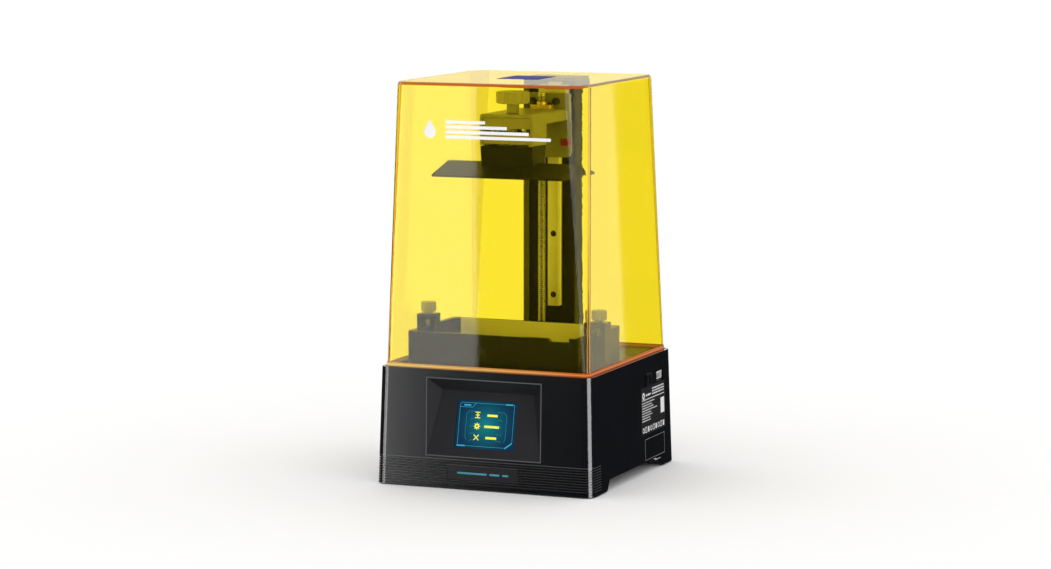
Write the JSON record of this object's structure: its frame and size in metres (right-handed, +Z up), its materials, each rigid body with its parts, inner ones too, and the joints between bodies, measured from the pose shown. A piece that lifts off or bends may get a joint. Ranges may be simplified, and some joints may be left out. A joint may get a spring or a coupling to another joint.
{
  "type": "resin printer",
  "caption": "Desktop resin printer: black base with a touch screen, see-through yellow lift-off cover, resin vat, build plate on an arm, lead screw and linear rail.",
  "frame": {"origin": "on the floor under the middle of the base", "axes": "+Z up, the front with the screen faces -Y, +X is the side with the switch and the USB socket"},
  "size_m": [0.222, 0.227, 0.3836],
  "materials": {
    "housing_black": "satin",
    "bezel_black": "matte",
    "badge_black": "satin",
    "screen_glass": "gloss",
    "electronics": "satin",
    "board_white": "matte",
    "rubber_black": "matte",
    "deck_black": "satin",
    "mask_glass": "gloss",
    "clear_glass": "gloss",
    "tape_black": "matte",
    "light_black": "matte",
    "aluminium": "brushed",
    "sheet_black": "satin",
    "fan_black": "matte",
    "socket_metal": "satin",
    "tongue_white": "matte",
    "switch_black": "gloss",
    "label_black": "satin",
    "motor_steel": "satin",
    "column_black": "anodised satin",
    "rail_steel": "ground",
    "screw_steel": "satin",
    "screw_black": "black oxide",
    "brass": "satin",
    "flag_red": "gloss",
    "arm_black": "anodised satin",
    "bed_black": "anodised matte",
    "knob_black": "satin",
    "vat_grey": "anodised satin",
    "film_clear": "gloss",
    "cover_yellow": "gloss",
    "graphic_white": "satin",
    "sticker_blue": "satin"
  },
  "bodies": {
    "base": {"base_housing": "housing_black", "badge_plate": "badge_black", "display_bezel": "bezel_black", "touch_panel": "screen_glass", "display_module": "electronics", "bottom_plate": "sheet_black", "rubber_feet": "rubber_black", "top_deck": "deck_black", "vat_bushings": "brass", "mask_panel": "mask_glass", "panel_glass": "clear_glass", "panel_tape": "tape_black", "light_box": "light_black", "lens_plate": "clear_glass", "led_board": "board_white", "heat_sink": "aluminium", "rear_panel": "sheet_black", "fan_frame": "fan_black", "fan_bolts": "screw_steel", "dc_jack": "switch_black", "switch_frame": "switch_black", "usb_socket": "socket_metal", "usb_tongue": "tongue_white", "rating_label": "label_black", "main_board": "electronics", "z_motor": "motor_steel", "column": "column_black", "column_cap": "bezel_black", "linear_rail": "rail_steel", "limit_switch": "bezel_black", "flat_screws": "screw_black", "cap_screws": "screw_steel"},
    "lead_screw": {"motor_shaft": "screw_steel", "shaft_coupler": "aluminium", "lead_screw": "screw_steel"},
    "carriage": {"rail_block": "rail_steel", "carriage_plate": "arm_black", "z_arm": "arm_black", "lead_nut": "brass", "carriage_screws": "screw_black", "sensor_flag": "flag_red"},
    "platform": {"clamp_upper": "arm_black", "clamp_lower": "arm_black", "clamp_bolts": "screw_steel"},
    "build_plate": {"build_plate": "bed_black", "plate_neck": "bed_black", "level_ball": "screw_steel"},
    "platform_knob": {"platform_knob": "knob_black"},
    "vat": {"vat_frame": "vat_grey", "film_ring": "aluminium", "fep_film": "film_clear", "film_screws": "screw_steel"},
    "vat_screw_left": {"vat_screw_left": "knob_black"},
    "vat_screw_right": {"vat_screw_right": "knob_black"},
    "cover": {"cover_shell": "cover_yellow", "cover_graphic": "graphic_white", "cover_sticker": "sticker_blue"},
    "power_rocker": {"power_rocker": "switch_black"},
    "fan_rotor": {"fan_rotor": "fan_black"}
  },
  "joints": [
    {"name": "z_axis", "type": "slide", "parent": "base", "child": "carriage", "axis": [0, 0, 1], "range_m": [-0.178, 0]},
    {"name": "lead_screw_turn", "type": "hinge", "parent": "base", "child": "lead_screw", "pos_m": [0.0031, 0.0295, 0.2], "axis": [0, 0, 1], "continuous": true},
    {"name": "platform_slide", "type": "slide", "parent": "carriage", "child": "platform", "axis": [0, -1, 0], "range_m": [0, 0.02]},
    {"name": "platform_level", "type": "hinge", "parent": "platform", "child": "build_plate", "pos_m": [0, -0.037, 0.3358], "axis": [1, 0, 0], "range_deg": [0, 1]},
    {"name": "platform_knob_turn", "type": "hinge", "parent": "carriage", "child": "platform_knob", "pos_m": [0, -0.037, 0.36], "axis": [0, 0, 1], "continuous": true},
    {"name": "vat_lift", "type": "slide", "parent": "base", "child": "vat", "axis": [0, 0, 1], "range_m": [0, 0.03]},
    {"name": "vat_screw_left_turn", "type": "hinge", "parent": "vat", "child": "vat_screw_left", "pos_m": [-0.0873, -0.039, 0.15], "axis": [0, 0, 1], "continuous": true},
    {"name": "vat_screw_right_turn", "type": "hinge", "parent": "vat", "child": "vat_screw_right", "pos_m": [0.0873, -0.039, 0.15], "axis": [0, 0, 1], "continuous": true},
    {"name": "cover_lift", "type": "slide", "parent": "base", "child": "cover", "axis": [0, 0, 1], "range_m": [0, 0.285]},
    {"name": "power_rocker_tip", "type": "hinge", "parent": "base", "child": "power_rocker", "pos_m": [0.10769, 0.043, 0.0905], "axis": [0, 0, 1], "range_deg": [-16, 0]},
    {"name": "fan_turn", "type": "hinge", "parent": "base", "child": "fan_rotor", "pos_m": [0.04, 0.098, 0.061], "axis": [0, 1, 0], "continuous": true}
  ],
  "couplings": [
    {"joint": "lead_screw_turn", "follows": "z_axis", "rad_per_m": 785.4}
  ]
}
